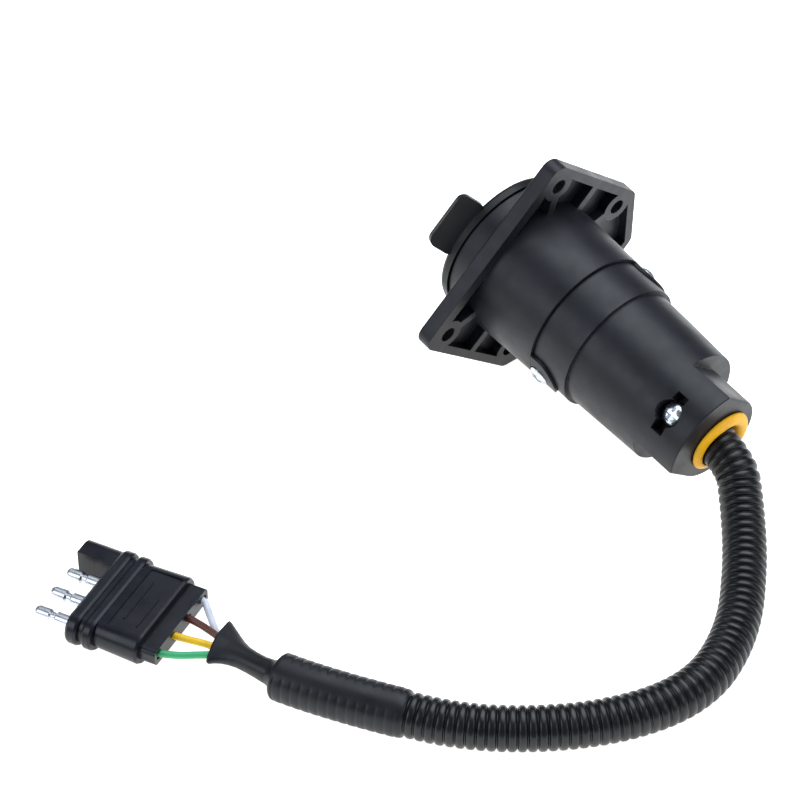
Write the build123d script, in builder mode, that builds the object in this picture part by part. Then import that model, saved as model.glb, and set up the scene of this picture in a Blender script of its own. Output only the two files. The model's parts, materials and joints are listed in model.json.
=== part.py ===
"""Trailer wiring connector.

A seven-way flange socket with a sprung lid, a corrugated loom and a flat four-way plug.
"""

import os
from math import atan2, cos, degrees, radians, sin, tan

from build123d import *

os.makedirs("parts", exist_ok=True)

# ---- driving dimensions, in millimetres and degrees ----
# How the socket lies: its axis runs along +X and dips towards the cable, and it is rolled so that
# one slanted edge of the flange rests.
AXIS_DIP = 10.4
SLANT_ANGLE = 49.8
EDGE_DISTANCE = 46.0
FLANGE_X, FLANGE_Y = -34.2, -1.8

# Flange
FLANGE_THICK = 5.7
FLANGE_SKIN = 2.0
FLANGE_NEAR, FLANGE_FAR, FLANGE_SIDE = 29.2, 46.0, 38.2
FLANGE_CORNER, FLANGE_ROUND = 4.5, 0.8
NEAR_WALL, FLANGE_WALL, RIB_WALL = 4.5, 3.2, 3.0
LUG_RIB_REACH, LUG_RIB_Y = 24.0, 11.0
CORNER_RIB_REACH, CORNER_RIB_PLACE = 14.0, 0.86
BOLT_X, BOLT_Y = 21.5, 31.0
BOLT_HOLE, BOLT_BOSS = 2.8, 5.8

# Barrel, collar and the two tongues that hold the rear cap
BARREL_FRONT, BARREL_REAR = 26.0, 25.1
BARREL_LENGTH = 27.0
COLLAR_RADIUS, COLLAR_LENGTH = 25.8, 13.3
SOCKET_BORE = 22.0
TONGUE_HALF, TONGUE_CENTRE, TONGUE_ANGLE = 8.0, 30.4, 65.0
TONGUE_ROOT, TONGUE_TAPER = 4.0, 0.3

# Rear cap
BAND_RADIUS, BAND_END = 23.9, 42.4
CAP_FRONT, CAP_REAR, CAP_END = 22.6, 20.7, 90.3
CAP_BORE, CAP_FLOOR = 19.6, 69.0
SPIGOT_RADIUS, SPIGOT_START = 21.9, 21.0
NECK_START, NECK_HALF = 73.4, 15.7
CABLE_BORE = 9.2
SLOT_CENTRE, SLOT_LENGTH, SLOT_WIDTH = 79.8, 15.0, 4.6
CLAMP_SEAT, CLAMP_HEAD, CLAMP_SINK = 16.0, 4.2, 4.6
NUT_BAR_INNER, NUT_BAR_THICK, SADDLE_INNER, SADDLE_THICK = 12.9, 2.2, 9.3, 2.0
CAP_SCREW_SEAT, CAP_SCREW_SINK, CAP_SCREW_HOLE = 24.2, 4.1, 1.7
CAP_BOSS_RADIUS, CAP_BOSS_HOLE, CAP_BOSS_START = 3.6, 1.5, 16.2

# Lid and hinge
LID_RADIUS, LID_GAP, LID_EDGE, LID_DOME = 26.6, 0.3, 17.3, 19.0
HINGE_X, HINGE_Z = 36.0, -13.5
PIN_RADIUS, PIN_HALF, PIN_BEVEL = 2.0, 17.6, 0.4
LUG_RADIUS, LUG_INNER, LUG_OUTER = 4.7, 13.0, 17.0
KNUCKLE_RADIUS, KNUCKLE_INNER, KNUCKLE_OUTER, KNUCKLE_PLAY = 4.3, 6.6, 12.7, 0.06
TAB_ANGLE, TAB_WIDTH, TAB_THICK = 35.0, 20.5, 2.4
TAB_ROOT, TAB_ROOT_Z, TAB_LENGTH, TAB_CORNER = 24.6, -15.4, 10.6, 3.0
PAD_RADIUS, PAD_DEPTH = 21.2, 2.2
GASKET_INNER, GASKET_OUTER, GASKET_DEPTH = 22.5, 25.0, 1.2
NIB_PLACE, NIB_THICK, NIB_WIDTH, NIB_LENGTH = 17.5, 3.0, 7.0, 5.0

# Contacts
CONTACT_RADIUS, CONTACT_WIDTH, CONTACT_THICK = 16.5, 6.3, 1.0
CONTACT_FRONT, FOOT_INNER, FOOT_NARROWER = -6.0, 7.7, 0.4
INSERT_FRONT, INSERT_REAR = 8.0, 17.0
SCREW_HOLE, SCREW_HOLE_DEPTH, CENTRE_BORE = 1.25, 7.0, 2.5
CENTRE_PIN_RADIUS, CENTRE_PIN_FRONT, CENTRE_PIN_REAR = 2.45, -6.0, 20.0
FOOT_THICK = 1.0
TERMINAL_RADIUS, WIRE_FOOT_RADIUS = 13.2, 9.3

# Loom, sleeve and wires
LOOM_RADIUS, LOOM_BORE = 7.15, 5.5
SLEEVE_RADIUS, SLEEVE_NECK, SLEEVE_WALL = 7.75, 3.85, 0.6
WIRE_RADIUS = 1.2
BUNDLE_OFFSET = 1.34
LOOM_POINTS = [
    (32.7, -1.8, 33.1),
    (66.1, -1.8, 26.9),
    (87.3, -20.8, 15.0),
    (107.8, -45.3, 8.6),
    (115.8, -76.8, 7.3),
    (104.8, -106.8, 7.3),
    (82.3, -132.8, 7.3),
    (54.0, -150.9, 7.3),
    (28.3, -163.2, 7.3),
]
SLEEVE_START = 0.39
NECK_POINT = (12.8, -166.4, 6.8)
MOUTH_POINT = (3.3, -167.3, 6.2)
MOUTH_WIDTH, MOUTH_HEIGHT, MOUTH_HEADING = 18.5, 7.0, 208.0

# Flat plug: its face centre, and the way its pins point
PLUG_FACE = (-37.8, -183.6, 6.0)
PLUG_HEADING = 202.5
PIN_PITCH = 9.4
PLUG_WIDTH, PLUG_THICK, PLUG_TAPER = 37.2, 11.4, 2.0
LIP_WIDTH, LIP_THICK = 40.4, 11.8
GROOVE_WIDTH, GROOVE_THICK = 37.4, 10.0
TAIL_WIDTH, TAIL_THICK = 33.0, 5.6
BEVEL, BEVEL_ANGLE = 0.8, 30.0
LIP_DEPTH, RIB_FRONT, RIB_REAR = 3.9, 5.7, 9.2
PLUG_BODY_REAR, PLUG_REAR = 25.0, 30.7
PANEL_WIDTH, PANEL_DEPTH, PANEL_FLOOR, PANEL_MIDDLE = 27.0, 11.4, 4.9, 18.1
PANEL_LINE, PANEL_LINE_RISE = 0.7, 0.3
BULLET_RADIUS, BULLET_WAIST, BULLET_LENGTH = 2.0, 1.4, 14.1
CRIMP_DEPTH = 20.0
SHROUD_LENGTH, SHROUD_INNER, SHROUD_SMALLER = 13.2, 4.2, 2.0
TERMINAL_OUTER, TERMINAL_DEPTH, TERMINAL_SET_BACK = 3.0, 8.0, 1.2

# ---- frames ----
dip = radians(AXIS_DIP)
roll = radians(90 - SLANT_ANGLE)
axis_dir = Vector(cos(dip), 0, -sin(dip))
across = Vector(0, 1, 0)
upward = Vector(sin(dip), 0, cos(dip))
hinge_dir = across * cos(roll) - upward * sin(roll)
flange_centre = Vector(FLANGE_X, FLANGE_Y, EDGE_DISTANCE * cos(dip))

# The socket plane lies on the flange's back face: its X points to the hinge and its Z to the cable.
socket = Plane(origin=flange_centre, x_dir=hinge_dir, z_dir=axis_dir)
barrel_axis = Axis(socket.origin, socket.z_dir)
# Profiles turned about the barrel axis are drawn here as (radius, distance along the axis).
section = Plane(origin=socket.origin, x_dir=socket.x_dir, z_dir=-socket.y_dir)


def side_plane(y):
    """A plane across the hinge pin at height y, with local Y pointing to the front."""
    return Plane(origin=socket.from_local_coords((0, y, 0)), x_dir=socket.x_dir, z_dir=socket.y_dir)


def barrel_spot(angle, radius, z):
    """A plane that faces outward from the barrel axis, with local Y pointing to the cable."""
    a = radians(angle)
    out = socket.x_dir * cos(a) + socket.y_dir * sin(a)
    origin = socket.from_local_coords((radius * cos(a), radius * sin(a), z))
    return Plane(origin=origin, x_dir=out.cross(socket.z_dir) * -1, z_dir=out)


def write(builder, label):
    """Label a finished piece and write it as its own STEP file."""
    builder.part.label = label
    export_step(builder.part, f"parts/{label}.step")


# ---- socket housing: barrel, collar, flange, hinge lugs and tongues ----
def flange_outline(near, far, side, slant):
    """The flange's six-sided outline, wide at the near edge and slanted towards the hinge."""
    a = radians(SLANT_ANGLE)
    slant_x = (slant - side * sin(a)) / cos(a)
    slant_y = (slant - far * cos(a)) / sin(a)
    upper = [(-near, side), (slant_x, side), (far, slant_y)]
    lower = [(x, -y) for x, y in reversed(upper)]
    Polyline(*upper, *lower, close=True)


lug_spans = [(LUG_INNER, LUG_OUTER), (-LUG_OUTER, -LUG_INNER)]
tongue_angles = [TONGUE_ANGLE, TONGUE_ANGLE + 180]
bolt_spots = [(x, y) for x in (-BOLT_X, BOLT_X) for y in (-BOLT_Y, BOLT_Y)]

with BuildPart() as socket_housing:
    with BuildSketch(socket.offset(-FLANGE_THICK)):
        with BuildLine():
            flange_outline(FLANGE_NEAR, FLANGE_FAR, FLANGE_SIDE, EDGE_DISTANCE)
        outline = make_face()
        fillet(outline.vertices(), FLANGE_CORNER)
    extrude(amount=FLANGE_THICK)
    fillet(socket_housing.faces().sort_by(barrel_axis)[0].edges(), FLANGE_ROUND)
    with BuildSketch(socket):
        with BuildLine():
            flange_outline(FLANGE_NEAR - NEAR_WALL, FLANGE_FAR - FLANGE_WALL,
                           FLANGE_SIDE - FLANGE_WALL, EDGE_DISTANCE - FLANGE_WALL)
        make_face()
        Circle(BARREL_FRONT, mode=Mode.SUBTRACT)
        with Locations(*bolt_spots):
            Circle(BOLT_BOSS, mode=Mode.SUBTRACT)
        Rectangle(RIB_WALL, 2 * FLANGE_SIDE, mode=Mode.SUBTRACT)
        for x, y in bolt_spots:
            with Locations((x * CORNER_RIB_PLACE, y * CORNER_RIB_PLACE)):
                Rectangle(CORNER_RIB_REACH, RIB_WALL, rotation=degrees(atan2(y, x)), mode=Mode.SUBTRACT)
        for y in (-LUG_RIB_Y, LUG_RIB_Y):
            with Locations((FLANGE_FAR - LUG_RIB_REACH / 2, y)):
                Rectangle(LUG_RIB_REACH, RIB_WALL, mode=Mode.SUBTRACT)
    extrude(amount=-(FLANGE_THICK - FLANGE_SKIN), mode=Mode.SUBTRACT)
    with BuildSketch(section):
        with BuildLine():
            Polyline(
                (SOCKET_BORE, -COLLAR_LENGTH),
                (COLLAR_RADIUS, -COLLAR_LENGTH),
                (BARREL_FRONT, 0),
                (BARREL_REAR, BARREL_LENGTH),
                (SOCKET_BORE, BARREL_LENGTH),
                close=True,
            )
        make_face()
    revolve(axis=barrel_axis)
    with BuildSketch(socket.offset(-FLANGE_THICK - 1)):
        Circle(SOCKET_BORE)
    extrude(amount=FLANGE_THICK + 2, mode=Mode.SUBTRACT)
    for angle in tongue_angles:
        with BuildSketch(barrel_spot(angle, 0, TONGUE_CENTRE)) as tongue:
            Circle(TONGUE_HALF)
            with Locations((0, -TONGUE_HALF / 2)):
                Rectangle(2 * TONGUE_HALF, TONGUE_HALF)
        with BuildSketch(section) as tongue_ring:
            with BuildLine():
                Polyline(
                    (BAND_RADIUS, BARREL_LENGTH - TONGUE_ROOT),
                    (BARREL_REAR, BARREL_LENGTH - TONGUE_ROOT),
                    (BARREL_REAR - TONGUE_TAPER, BAND_END),
                    (BAND_RADIUS, BAND_END),
                    close=True,
                )
            make_face()
        ring = revolve(tongue_ring.sketch, axis=barrel_axis, mode=Mode.PRIVATE)
        post = extrude(tongue.sketch, amount=BARREL_FRONT + 2, mode=Mode.PRIVATE)
        add(ring & post)
        with BuildSketch(barrel_spot(angle, CAP_SCREW_SEAT, TONGUE_CENTRE)):
            Circle(CAP_SCREW_SINK)
        extrude(amount=BARREL_FRONT - CAP_SCREW_SEAT, mode=Mode.SUBTRACT)
        with BuildSketch(barrel_spot(angle, SOCKET_BORE, TONGUE_CENTRE)):
            Circle(CAP_SCREW_HOLE)
        extrude(amount=BARREL_FRONT - SOCKET_BORE, mode=Mode.SUBTRACT)
    for start, end in lug_spans:
        with BuildSketch(side_plane(start)):
            with Locations((HINGE_X, -HINGE_Z)):
                Circle(LUG_RADIUS)
            with Locations((HINGE_X, (FLANGE_THICK - HINGE_Z) / 2)):
                Rectangle(2 * LUG_RADIUS, -HINGE_Z - FLANGE_THICK)
        extrude(amount=end - start)
        with BuildSketch(side_plane(start - 1)):
            with Locations((HINGE_X, -HINGE_Z)):
                Circle(PIN_RADIUS)
        extrude(amount=end - start + 2, mode=Mode.SUBTRACT)
    with BuildSketch(socket.offset(-FLANGE_THICK - 1)):
        with Locations(*bolt_spots):
            Circle(BOLT_HOLE)
    extrude(amount=FLANGE_THICK + 2, mode=Mode.SUBTRACT)
write(socket_housing, "socket_housing")

# ---- rear cap: spigot, band, tapered body and the necked cable block ----
with BuildPart() as rear_cap:
    with BuildSketch(section):
        with BuildLine():
            Polyline(
                (CAP_BORE, SPIGOT_START),
                (SPIGOT_RADIUS, SPIGOT_START),
                (SPIGOT_RADIUS, BARREL_LENGTH + 0.2),
                (BAND_RADIUS - 0.1, BARREL_LENGTH + 0.2),
                (BAND_RADIUS - 0.1, BAND_END),
                (CAP_FRONT, BAND_END),
                (CAP_REAR, CAP_END),
                (0, CAP_END),
                (0, CAP_FLOOR),
                (CAP_BORE, CAP_FLOOR),
                close=True,
            )
        make_face()
    revolve(axis=barrel_axis)
    for angle in tongue_angles:
        boss_plane = barrel_spot(angle, CAP_BOSS_START, TONGUE_CENTRE)
        with BuildSketch(boss_plane):
            Circle(CAP_BOSS_RADIUS)
        extrude(amount=CAP_BORE - CAP_BOSS_START + 0.6)
        with BuildSketch(boss_plane):
            Circle(CAP_BOSS_HOLE)
        extrude(amount=BARREL_FRONT - CAP_BOSS_START, mode=Mode.SUBTRACT)
    # Everything outside the neck's outline is cut away behind the ledge.
    with BuildSketch(socket.offset(NECK_START)) as trim:
        Circle(CAP_FRONT + 5)
        Circle(NECK_HALF, mode=Mode.SUBTRACT)
        with Locations((-CAP_FRONT / 2 - 5, 0)):
            Rectangle(CAP_FRONT + 10, 2 * NECK_HALF, mode=Mode.SUBTRACT)
    extrude(amount=CAP_END - NECK_START + 1, mode=Mode.SUBTRACT)
    neck_edges = rear_cap.edges().filter_by(GeomType.LINE).filter_by(
        lambda e: (e.center() - socket.origin).dot(socket.z_dir) > NECK_START + 4)
    fillet(neck_edges, 0.7)
    end_edges = rear_cap.faces().sort_by(barrel_axis)[-1].outer_wire().edges()
    fillet(end_edges, 0.4)
    with BuildSketch(socket.offset(CAP_FLOOR - 1)):
        Circle(CABLE_BORE)
    extrude(amount=CAP_END - CAP_FLOOR + 2, mode=Mode.SUBTRACT)
    slot_plane = barrel_spot(180, CABLE_BORE - 3, SLOT_CENTRE)
    with BuildSketch(slot_plane):
        Rectangle(SLOT_LENGTH, SLOT_WIDTH)
    extrude(amount=CAP_FRONT, mode=Mode.SUBTRACT)
    with BuildSketch(barrel_spot(180, CLAMP_SEAT, SLOT_CENTRE)):
        Circle(CLAMP_SINK)
    extrude(amount=8, mode=Mode.SUBTRACT)
write(rear_cap, "rear_cap")


# ---- screws ----
def screw_profile(head_radius, head_height, shank_radius, shank_length):
    """Half of a pan-head screw, drawn as (radius, height) with the head's seat at height zero."""
    Polyline(
        (0, -shank_length),
        (shank_radius * 0.6, -shank_length),
        (shank_radius, -shank_length + 0.8),
        (shank_radius, 0),
        (head_radius, 0),
        (head_radius, head_height * 0.4),
    )
    ThreePointArc(
        (head_radius, head_height * 0.4),
        (head_radius * 0.72, head_height * 0.88),
        (0, head_height),
    )
    Line((0, head_height), (0, -shank_length))


def pan_screw(seat, head_radius, head_height, shank_radius, shank_length):
    """A pan-head screw with a cross recess, standing on the seat plane, added to the open part."""
    upright = Plane(origin=seat.origin, x_dir=seat.x_dir, z_dir=-seat.y_dir)
    with BuildSketch(upright) as half:
        with BuildLine():
            screw_profile(head_radius, head_height, shank_radius, shank_length)
        make_face()
    revolve(half.sketch, axis=Axis(seat.origin, seat.z_dir))
    with BuildSketch(seat.offset(head_height - 1.1)) as cross:
        Rectangle(head_radius * 1.15, head_radius * 0.24)
        Rectangle(head_radius * 0.24, head_radius * 1.15)
    extrude(cross.sketch, amount=2, taper=-12, mode=Mode.SUBTRACT)


with BuildPart() as cap_screws:
    for angle in tongue_angles:
        pan_screw(barrel_spot(angle, CAP_SCREW_SEAT, TONGUE_CENTRE), 3.8, 2.0, 1.48, 6.5)
write(cap_screws, "cap_screws")

with BuildPart() as clamp_screw:
    clamp_shank = CLAMP_SEAT - SADDLE_INNER - SADDLE_THICK - 0.1
    pan_screw(barrel_spot(180, CLAMP_SEAT, SLOT_CENTRE), CLAMP_HEAD, 2.4, 1.5, clamp_shank)
write(clamp_screw, "clamp_screw")


# ---- cable clamp inside the neck ----
def clamp_bar(inner, thick, hole):
    """A flat bar lying in the clamp slot, with an optional screw hole."""
    with BuildSketch(barrel_spot(180, inner, SLOT_CENTRE)) as bar:
        RectangleRounded(SLOT_LENGTH - 0.4, SLOT_WIDTH - 0.3, 0.6)
        if hole:
            Circle(hole, mode=Mode.SUBTRACT)
    extrude(bar.sketch, amount=thick)


with BuildPart() as clamp_nut_bar:
    clamp_bar(NUT_BAR_INNER, NUT_BAR_THICK, 1.52)
write(clamp_nut_bar, "clamp_nut_bar")

with BuildPart() as clamp_saddle:
    clamp_bar(SADDLE_INNER, SADDLE_THICK, None)
write(clamp_saddle, "clamp_saddle")

# ---- cable grommet: a sleeve in the neck with a flared lip behind it ----
with BuildPart() as grommet:
    with BuildSketch(section):
        with BuildLine():
            Polyline(
                (LOOM_RADIUS + 0.1, CAP_FLOOR + 6),
                (CABLE_BORE - 0.02, CAP_FLOOR + 6),
                (CABLE_BORE - 0.02, CAP_END + 0.02),
                (11.6, CAP_END + 0.02),
                (12.4, CAP_END + 0.8),
                (12.1, CAP_END + 1.7),
                (11.2, CAP_END + 2.1),
                (9.4, CAP_END + 0.6),
                (LOOM_RADIUS + 0.6, CAP_END - 2.5),
                (LOOM_RADIUS + 0.1, CAP_END - 5),
                close=True,
            )
        make_face()
    revolve(axis=barrel_axis)
write(grommet, "grommet")

# ---- hinge pin and lid spring ----
with BuildPart() as hinge_pin:
    with BuildSketch(side_plane(-PIN_HALF)):
        with Locations((HINGE_X, -HINGE_Z)):
            Circle(PIN_RADIUS)
    extrude(amount=2 * PIN_HALF)
    chamfer(hinge_pin.edges(), PIN_BEVEL)
write(hinge_pin, "hinge_pin")

with BuildPart() as lid_spring:
    spring_radius, wire_radius, coil_length, coil_pitch = 3.2, 0.55, 8.4, 1.4
    spring_start = socket.from_local_coords((HINGE_X, -coil_length / 2, HINGE_Z))
    with BuildLine():
        coil = Helix(coil_pitch, coil_length, spring_radius, center=spring_start, direction=socket.y_dir)
    with BuildSketch(Plane(origin=coil @ 0, z_dir=coil % 0)):
        Circle(wire_radius)
    sweep(path=coil)
write(lid_spring, "lid_spring")

# ---- lid with its arms, knuckles, thumb tab and latch nib ----
lid_rear = -COLLAR_LENGTH - LID_GAP
dome_edge, dome_rise = LID_RADIUS - 1.3, LID_DOME - LID_EDGE
dome_radius = (dome_edge**2 + dome_rise**2) / (2 * dome_rise)
dome_sweep = degrees(atan2(dome_edge, dome_radius - dome_rise))
knuckle_spans = [(KNUCKLE_INNER, KNUCKLE_OUTER), (-KNUCKLE_OUTER, -KNUCKLE_INNER)]

with BuildPart() as lid:
    with BuildSketch(section):
        with BuildLine():
            dome = CenterArc((0, dome_radius - LID_DOME), dome_radius, -90, dome_sweep)
            Polyline(
                dome @ 0,
                (0, lid_rear - PAD_DEPTH),
                (PAD_RADIUS, lid_rear - PAD_DEPTH),
                (PAD_RADIUS, lid_rear),
                (GASKET_INNER, lid_rear),
                (GASKET_INNER, lid_rear - GASKET_DEPTH),
                (GASKET_OUTER, lid_rear - GASKET_DEPTH),
                (GASKET_OUTER, lid_rear),
                (LID_RADIUS, lid_rear),
                (LID_RADIUS, -LID_EDGE + 1.3),
                (LID_RADIUS - 0.4, -LID_EDGE + 0.4),
                dome @ 1,
            )
        make_face()
    revolve(axis=barrel_axis)
    for start, end in knuckle_spans:
        with BuildSketch(side_plane(start)) as arm:
            with Locations((HINGE_X, -HINGE_Z)):
                Circle(KNUCKLE_RADIUS)
            with BuildLine():
                Polyline(
                    (22, LID_EDGE),
                    (HINGE_X + 1.2, LID_EDGE + 0.4),
                    (HINGE_X, -HINGE_Z - 3),
                    (27.5, -lid_rear),
                    (26.2, -lid_rear + 1.4),
                    (22, -lid_rear + 1.4),
                    close=True,
                )
            make_face()
            with Locations((HINGE_X, -HINGE_Z)):
                Circle(PIN_RADIUS + KNUCKLE_PLAY, mode=Mode.SUBTRACT)
        extrude(arm.sketch, amount=end - start)
    slope = radians(TAB_ANGLE)
    tab_face = socket.x_dir * sin(slope) - socket.z_dir * cos(slope)
    tab_root = socket.from_local_coords((-TAB_ROOT, 0, TAB_ROOT_Z))
    with BuildSketch(Plane(origin=tab_root, x_dir=socket.y_dir, z_dir=tab_face)):
        with Locations((0, 0.7 - TAB_LENGTH / 2)):
            RectangleRounded(TAB_WIDTH, TAB_LENGTH, TAB_CORNER)
    extrude(amount=TAB_THICK)
    with BuildSketch(socket.offset(lid_rear - PAD_DEPTH)):
        with Locations((-NIB_PLACE, 0)):
            Rectangle(NIB_THICK, NIB_WIDTH)
    extrude(amount=NIB_LENGTH, taper=8)
write(lid, "lid")

with BuildPart() as lid_gasket:
    with BuildSketch(socket.offset(lid_rear - GASKET_DEPTH)):
        Circle(GASKET_OUTER - 0.02)
        Circle(GASKET_INNER + 0.02, mode=Mode.SUBTRACT)
    extrude(amount=GASKET_DEPTH - 0.05)
write(lid_gasket, "lid_gasket")

# ---- terminal insert and its contacts ----
contact_names = ["ground", "brake", "tail", "power", "left", "right"]
contact_angles = [150 + 60 * i for i in range(6)]

with BuildPart() as terminal_insert:
    with BuildSketch(socket.offset(INSERT_FRONT)):
        Circle(SOCKET_BORE - 0.1)
    extrude(amount=INSERT_REAR - INSERT_FRONT)
    for angle in contact_angles:
        with BuildSketch(barrel_spot(angle, CONTACT_RADIUS, INSERT_FRONT)):
            Rectangle(CONTACT_WIDTH + 0.1, 4 * (INSERT_REAR - INSERT_FRONT))
        extrude(amount=CONTACT_THICK + 0.05, mode=Mode.SUBTRACT)
        a = radians(angle)
        with BuildSketch(socket.offset(INSERT_REAR - SCREW_HOLE_DEPTH)):
            with Locations((TERMINAL_RADIUS * cos(a), TERMINAL_RADIUS * sin(a))):
                Circle(SCREW_HOLE)
        extrude(amount=SCREW_HOLE_DEPTH + 1, mode=Mode.SUBTRACT)
    with BuildSketch(socket.offset(INSERT_FRONT - 1)):
        Circle(CENTRE_BORE)
    extrude(amount=INSERT_REAR - INSERT_FRONT + 2, mode=Mode.SUBTRACT)
write(terminal_insert, "terminal_insert")

# Each foot runs inwards from just inside its blade's outer face.
foot_outer = CONTACT_RADIUS + 0.7 * CONTACT_THICK
foot_middle, foot_length = (foot_outer + FOOT_INNER) / 2, foot_outer - FOOT_INNER
for name, angle in zip(contact_names, contact_angles):
    a = radians(angle)
    with BuildPart() as contact:
        blade_length = INSERT_REAR + FOOT_THICK - CONTACT_FRONT
        with BuildSketch(barrel_spot(angle, CONTACT_RADIUS + 0.02, CONTACT_FRONT + blade_length / 2)):
            RectangleRounded(CONTACT_WIDTH, blade_length, 0.8)
        extrude(amount=CONTACT_THICK)
        with BuildSketch(socket.offset(INSERT_REAR)):
            with Locations((foot_middle * cos(a), foot_middle * sin(a))):
                Rectangle(foot_length, CONTACT_WIDTH - FOOT_NARROWER, rotation=angle)
            with Locations((TERMINAL_RADIUS * cos(a), TERMINAL_RADIUS * sin(a))):
                Circle(SCREW_HOLE + 0.05, mode=Mode.SUBTRACT)
        extrude(amount=FOOT_THICK)
    write(contact, f"contact_{name}")

with BuildPart() as terminal_screws:
    for angle in contact_angles:
        a = radians(angle)
        spot = (TERMINAL_RADIUS * cos(a), TERMINAL_RADIUS * sin(a), INSERT_REAR + FOOT_THICK)
        seat = Plane(origin=socket.from_local_coords(spot), x_dir=socket.x_dir, z_dir=socket.z_dir)
        pan_screw(seat, 2.5, 1.7, 1.2, 6)
write(terminal_screws, "terminal_screws")

with BuildPart() as centre_pin:
    with BuildSketch(section):
        with BuildLine():
            Polyline(
                (0, CENTRE_PIN_FRONT),
                (CENTRE_PIN_RADIUS - 0.85, CENTRE_PIN_FRONT),
                (CENTRE_PIN_RADIUS, CENTRE_PIN_FRONT + 1),
                (CENTRE_PIN_RADIUS, CENTRE_PIN_REAR),
                (0, CENTRE_PIN_REAR),
                close=True,
            )
        make_face()
    revolve(axis=barrel_axis)
write(centre_pin, "centre_pin")


# ---- cord routes ----
def corner_radii(points):
    """The arc that each corner's runs allow: 0.45 of the shorter, over the tangent of half the turn."""
    points = [Vector(*p) for p in points]
    radii = []
    for before, here, after in zip(points, points[1:], points[2:]):
        arriving, leaving = here - before, after - here
        half_turn = radians(arriving.get_angle(leaving)) / 2
        radii.append(0.45 * min(arriving.length, leaving.length) / tan(half_turn))
    return radii


def beside(points, side, rise):
    """The route that keeps a bundle's place: side is to the left of travel, rise is upwards."""
    points = [Vector(*p) for p in points]
    headings = [Vector(b.X - a.X, b.Y - a.Y, 0).normalized() for a, b in zip(points, points[1:])]
    moved = []
    for i, point in enumerate(points):
        arriving, leaving = headings[max(i - 1, 0)], headings[min(i, len(headings) - 1)]
        middle = (arriving + leaving).normalized()
        left = Vector(-middle.Y, middle.X, 0) * (side / middle.dot(leaving))
        moved.append(point + left + Vector(0, 0, rise))
    return moved


def report_route(name, part, line, area, radii):
    """Print a tube's arc radii and compare its volume with section times length."""
    share = part.volume / (area * line.length)
    print(f"{name}: length {line.length:.1f}, volume share {share:.4f}, radii", [round(r) for r in radii])


with BuildPart() as loom:
    loom_radii = corner_radii(LOOM_POINTS)
    with BuildLine() as loom_line:
        FilletPolyline(*LOOM_POINTS, radius=loom_radii)
    with BuildSketch(Plane(origin=loom_line.line @ 0, z_dir=loom_line.line % 0)) as loom_section:
        Circle(LOOM_RADIUS)
        Circle(LOOM_BORE, mode=Mode.SUBTRACT)
    sweep(path=loom_line.wire())
write(loom, "loom")
report_route("loom", loom.part, loom_line.wire(), loom_section.sketch.area, loom_radii)

# ---- heat-shrink sleeve: over the loom's end, down to a neck, then a flattened flare ----
last_corner, loom_end = Vector(*LOOM_POINTS[-2]), Vector(*LOOM_POINTS[-1])
sleeve_from = last_corner + (Vector(*LOOM_POINTS[-3]) - last_corner) * SLEEVE_START
neck_point, mouth_point = Vector(*NECK_POINT), Vector(*MOUTH_POINT)
loom_heading = (loom_end - last_corner).normalized()
neck_heading = (neck_point - loom_end).normalized()
mouth_heading = Vector(cos(radians(MOUTH_HEADING)), sin(radians(MOUTH_HEADING)), 0)


def neck_sections(shrink):
    """Round sections from the loom's end to the neck, as (plane, radius) pairs, shrunk by a wall."""
    step = Plane(origin=loom_end + neck_heading * 3.2, z_dir=neck_heading)
    return [
        (Plane(origin=loom_end, z_dir=loom_heading), SLEEVE_RADIUS - shrink),
        (step, SLEEVE_NECK + 0.2 - shrink),
        (Plane(origin=neck_point, z_dir=neck_heading), SLEEVE_NECK - shrink),
    ]


def sleeve_body(shrink, mode):
    """The shoulder, neck and flare as one run of straight lofts."""
    rounds = neck_sections(shrink)
    for (plane_a, radius_a), (plane_b, radius_b) in zip(rounds, rounds[1:]):
        with BuildSketch(plane_a) as first:
            Circle(radius_a)
        with BuildSketch(plane_b) as second:
            Circle(radius_b)
        loft([first.sketch, second.sketch], ruled=True, mode=mode)
    flare_side = Vector(-neck_heading.Y, neck_heading.X, 0)
    mouth_side = Vector(-mouth_heading.Y, mouth_heading.X, 0)
    with BuildSketch(Plane(origin=neck_point, x_dir=flare_side, z_dir=neck_heading)) as first:
        Circle(SLEEVE_NECK - shrink)
    with BuildSketch(Plane(origin=mouth_point, x_dir=mouth_side, z_dir=mouth_heading)) as second:
        Ellipse(MOUTH_WIDTH / 2 - shrink, MOUTH_HEIGHT / 2 - shrink)
    loft([first.sketch, second.sketch], mode=mode)


with BuildPart() as heat_shrink:
    with BuildLine() as sleeve_line:
        FilletPolyline(sleeve_from, last_corner, loom_end, radius=[loom_radii[-1]])
    with BuildSketch(Plane(origin=sleeve_line.line @ 0, z_dir=sleeve_line.line % 0)):
        Circle(SLEEVE_RADIUS)
    sweep(path=sleeve_line.wire())
    sleeve_body(0, Mode.ADD)
    with BuildLine() as core_line:
        FilletPolyline(sleeve_from, last_corner, loom_end, radius=[loom_radii[-1]])
    with BuildSketch(Plane(origin=core_line.line @ 0, z_dir=core_line.line % 0)):
        Circle(LOOM_RADIUS)
    sweep(path=core_line.wire(), mode=Mode.SUBTRACT)
    sleeve_body(SLEEVE_WALL, Mode.SUBTRACT)
write(heat_shrink, "heat_shrink")

# ---- flat plug frame: local X points to the green wire, Y up and Z along the pins ----
heading = radians(PLUG_HEADING)
pin_dir = Vector(cos(heading), sin(heading), 0)
green_dir = Vector(-pin_dir.Y, pin_dir.X, 0)
plug = Plane(origin=PLUG_FACE, x_dir=green_dir, z_dir=pin_dir)
wire_colours = ["white", "brown", "yellow", "green"]
lane = dict(zip(wire_colours, [(i - 1.5) * PIN_PITCH for i in range(4)]))

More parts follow.
